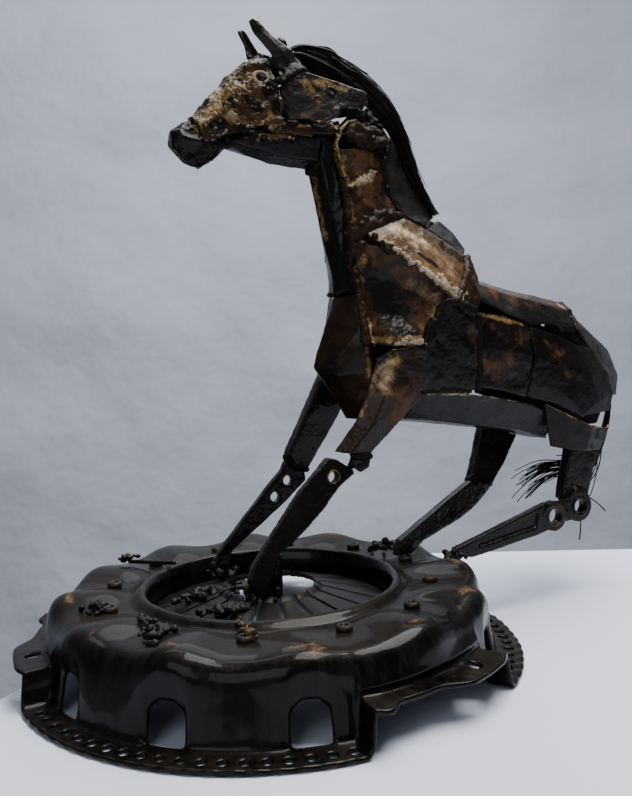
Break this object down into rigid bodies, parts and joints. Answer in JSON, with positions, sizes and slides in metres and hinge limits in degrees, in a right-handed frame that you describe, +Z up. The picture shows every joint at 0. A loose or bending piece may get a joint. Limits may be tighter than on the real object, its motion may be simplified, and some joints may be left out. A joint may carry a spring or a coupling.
{
  "type": "scrap metal horse sculpture",
  "caption": "Rearing horse welded from scrap plate, levers and wire rope, standing on a pressed steel clutch cover.",
  "frame": {"origin": "middle of the footprint, on the surface that the clutch cover stands on", "axes": "+Z up; the horse heads along -X, and its left side is -Y"},
  "size_m": [0.7214, 0.475, 0.6053],
  "materials": {
    "cover_paint": "glossy black paint, dusty on top and worn to rust on the ribs",
    "spring_steel": "dull black oiled steel",
    "black_steel": "clear-coated black-brown scrap steel",
    "umber_steel": "clear-coated rusty brown plate with weld spatter",
    "weld_gold": "rippled gold-brown weld metal under clear coat",
    "cream_steel": "worn cream paint over steel, clear coated",
    "grey_steel": "dull grey bare steel",
    "belly_steel": "violet-black heat-tinted plate",
    "wire": "blackened frayed wire rope"
  },
  "bodies": {
    "root": {"rivet_01": "spring_steel", "rivet_02": "spring_steel", "rivet_03": "spring_steel", "rivet_04": "spring_steel", "rivet_05": "spring_steel", "rivet_06": "spring_steel", "rivet_07": "spring_steel", "rivet_08": "spring_steel", "rivet_09": "spring_steel", "rivet_10": "spring_steel", "rivet_11": "spring_steel", "rivet_12": "spring_steel", "clutch_cover": "cover_paint", "diaphragm_spring": "spring_steel", "face_plate": "weld_gold", "muzzle": "black_steel", "jaw_trough": "black_steel", "skull_cap": "black_steel", "ear_left": "grey_steel", "ear_right": "black_steel", "poll_knob": "grey_steel", "cheek_plate_left": "grey_steel", "cheek_plate_right": "grey_steel", "cheek_bar_left": "umber_steel", "neck_collar_left": "weld_gold", "neck_side_left": "umber_steel", "neck_side_right": "umber_steel", "neck_front_plate": "black_steel", "chest_plate": "black_steel", "crest_plate": "grey_steel", "shoulder_top_left": "cream_steel", "shoulder_top_right": "cream_steel", "shoulder_panel_left": "umber_steel", "shoulder_panel_right": "umber_steel", "shoulder_cap_left": "umber_steel", "shoulder_cap_right": "umber_steel", "withers_lobe": "black_steel", "girth_panel_left": "black_steel", "girth_panel_right": "black_steel", "back_plate": "grey_steel", "rump_strap": "grey_steel", "side_plate_left": "umber_steel", "side_plate_right": "umber_steel", "haunch_plate_left": "black_steel", "haunch_plate_right": "black_steel", "belly_plate": "belly_steel", "thigh_cup": "black_steel", "left_forearm": "umber_steel", "left_cannon": "black_steel", "knee_tab": "black_steel", "foot_hub": "black_steel", "right_forearm": "black_steel", "right_cannon": "black_steel", "right_gaskin": "black_steel", "right_hind_cannon": "black_steel", "left_hind_post": "black_steel", "left_hind_lever": "black_steel", "mane": "wire", "tail": "wire", "loose_pin": "spring_steel"}
  },
  "joints": []
}
